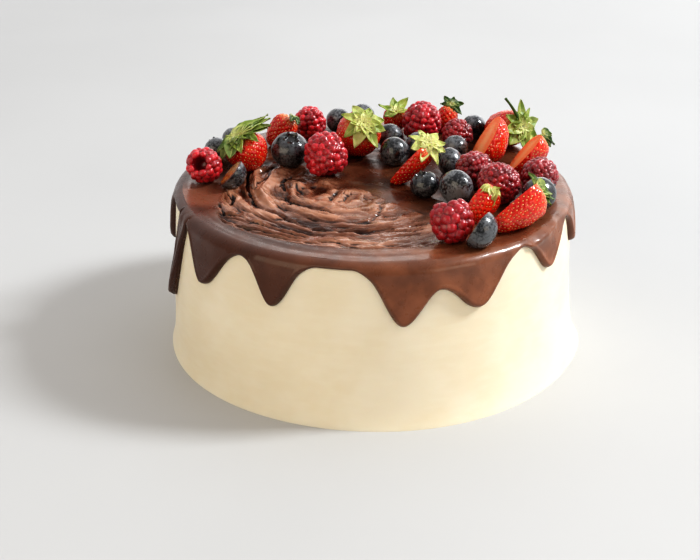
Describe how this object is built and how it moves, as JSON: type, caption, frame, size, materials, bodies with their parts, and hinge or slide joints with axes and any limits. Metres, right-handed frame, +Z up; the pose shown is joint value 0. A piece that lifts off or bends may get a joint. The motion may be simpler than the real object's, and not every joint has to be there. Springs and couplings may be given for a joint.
{
  "type": "berry drip cake",
  "caption": "Round frosted layer cake with a poured chocolate ganache top, drips down the side and a crescent of fresh berries on top.",
  "frame": {"origin": "middle of the flat base, which rests on a plate or stand", "axes": "+Z up; -Y is the front, the side with the widest open stretch of ganache at its edge; +X is to the right seen from the front"},
  "size_m": [0.2063, 0.205, 0.1101],
  "materials": {
    "frosting": "smooth cream frosting, satin",
    "ganache": "set chocolate ganache, satin to glossy",
    "raspberry": "fresh raspberry, soft shine",
    "blueberry": "fresh blueberry with a grey bloom",
    "strawberry": "fresh strawberry, glossy and wet",
    "leaf": "strawberry leaf, matt"
  },
  "bodies": {
    "root": {"frosted_cake": "frosting", "ganache": "ganache", "raspberry_1": "raspberry", "raspberry_2": "raspberry", "raspberry_3": "raspberry", "raspberry_4": "raspberry", "raspberry_5": "raspberry", "raspberry_6": "raspberry", "raspberry_7": "raspberry", "raspberry_8": "raspberry", "raspberry_9": "raspberry", "blueberry_1": "blueberry", "blueberry_2": "blueberry", "blueberry_3": "blueberry", "blueberry_4": "blueberry", "blueberry_5": "blueberry", "blueberry_6": "blueberry", "blueberry_7": "blueberry", "blueberry_8": "blueberry", "blueberry_9": "blueberry", "blueberry_10": "blueberry", "blueberry_11": "blueberry", "blueberry_12": "blueberry", "blueberry_13": "blueberry", "blueberry_14": "blueberry", "blueberry_half_1": "blueberry", "blueberry_half_2": "blueberry", "strawberry_1": "strawberry", "strawberry_2": "strawberry", "strawberry_3": "strawberry", "strawberry_4": "strawberry", "strawberry_5": "strawberry", "strawberry_6": "strawberry", "strawberry_7": "strawberry", "strawberry_8": "strawberry", "strawberry_9": "strawberry", "strawberry_10": "strawberry", "strawberry_11": "strawberry", "leaves_1": "leaf", "leaves_2": "leaf", "leaves_3": "leaf", "leaves_4": "leaf", "leaves_5": "leaf", "leaves_7": "leaf", "leaves_8": "leaf", "leaves_9": "leaf", "leaves_10": "leaf", "leaves_11": "leaf"}
  },
  "joints": []
}
